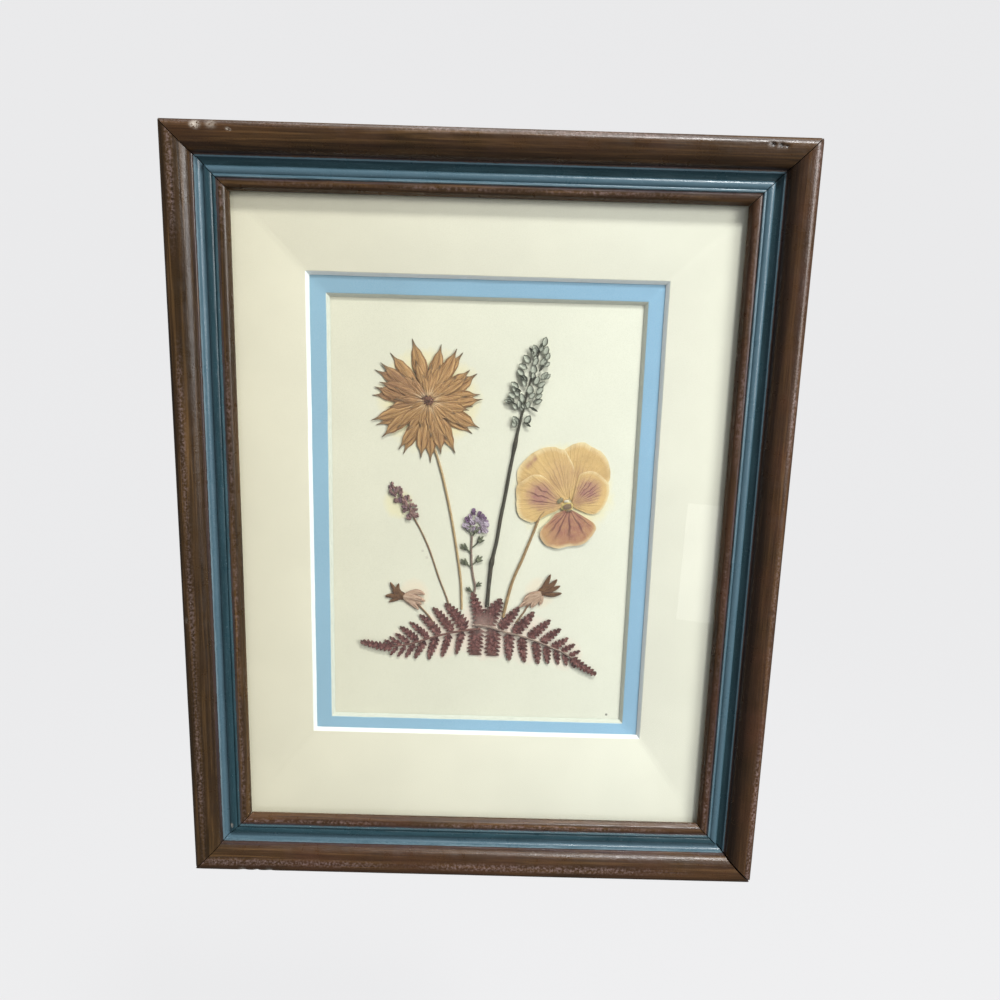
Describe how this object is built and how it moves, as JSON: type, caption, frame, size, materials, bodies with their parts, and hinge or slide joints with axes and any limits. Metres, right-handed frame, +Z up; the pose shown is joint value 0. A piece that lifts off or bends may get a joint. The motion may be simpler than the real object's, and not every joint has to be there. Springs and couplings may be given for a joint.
{
  "type": "pressed flower frame",
  "caption": "Upright mitred wooden picture frame with glass and two window mats over an arrangement of pressed flowers and fern; hangs on a wall.",
  "frame": {"origin": "the hanging point: the middle notch of the saw-tooth hanger, in the plane of the frame's back", "axes": "+Z up along the frame's height, +Y from the front to the wall behind, +X to the right as seen from the front"},
  "size_m": [0.252, 0.0241, 0.317],
  "materials": {
    "stained_wood": "dark reddish brown stain with a band of slate blue satin paint, rubbed and chipped along the ridge",
    "clear_glass": "polished clear sheet glass",
    "cream_board": "matt cream board with a white core, slightly yellowed",
    "blue_board": "matt light blue board with a white core",
    "cream_card": "matt cream card",
    "grey_board": "plain brown-grey chipboard",
    "zinc_steel": "zinc-plated pressed steel",
    "tan_bracts": "dry straw-like bracts, tan with darker veins and a maroon eye",
    "tan_stem": "dry tan stem",
    "olive_stem": "dry dark olive stem",
    "grey_lavender": "dry grey-green florets with pale mouths",
    "ochre_petals": "pressed ochre petals with yellow rims and purple flushes",
    "purple_petal": "pressed dusty purple petal with dark veins",
    "yellow_eye": "pressed flower centre",
    "purple_spike": "dry purple-brown florets",
    "lilac_flowers": "dry blue-lilac flowers",
    "brown_calyx": "dry brown calyx",
    "faded_petals": "faded pinkish tan petals",
    "maroon_fern": "pressed maroon-brown fern"
  },
  "bodies": {
    "root": {"rail_top": "stained_wood", "rail_right": "stained_wood", "rail_bottom": "stained_wood", "rail_left": "stained_wood", "glass_pane": "clear_glass", "outer_mat": "cream_board", "inner_mat": "blue_board", "mounting_card": "cream_card", "backing_board": "grey_board", "framers_point_1": "zinc_steel", "framers_point_2": "zinc_steel", "framers_point_3": "zinc_steel", "framers_point_4": "zinc_steel", "framers_point_5": "zinc_steel", "framers_point_6": "zinc_steel", "framers_point_7": "zinc_steel", "framers_point_8": "zinc_steel", "sawtooth_hanger": "zinc_steel", "hanger_nail_left": "zinc_steel", "hanger_nail_right": "zinc_steel", "star_flower_head": "tan_bracts", "star_flower_stem": "tan_stem", "lavender_spike": "grey_lavender", "lavender_stem": "olive_stem", "pansy_petal_upper_left": "ochre_petals", "pansy_petal_upper_right": "ochre_petals", "pansy_petal_side_left": "ochre_petals", "pansy_petal_side_right": "ochre_petals", "pansy_petal_lower": "purple_petal", "pansy_centre": "yellow_eye", "pansy_stem": "olive_stem", "small_spike_head": "purple_spike", "small_spike_stem": "tan_stem", "blue_flower_cluster": "lilac_flowers", "blue_flower_stem": "olive_stem", "bud_left_calyx": "brown_calyx", "bud_left_petals": "faded_petals", "bud_left_stem": "tan_stem", "bud_right_calyx": "brown_calyx", "bud_right_petals": "faded_petals", "bud_right_stem": "tan_stem", "fern_frond_left": "maroon_fern", "fern_frond_right": "maroon_fern", "fern_sprig_centre": "maroon_fern"}
  },
  "joints": []
}
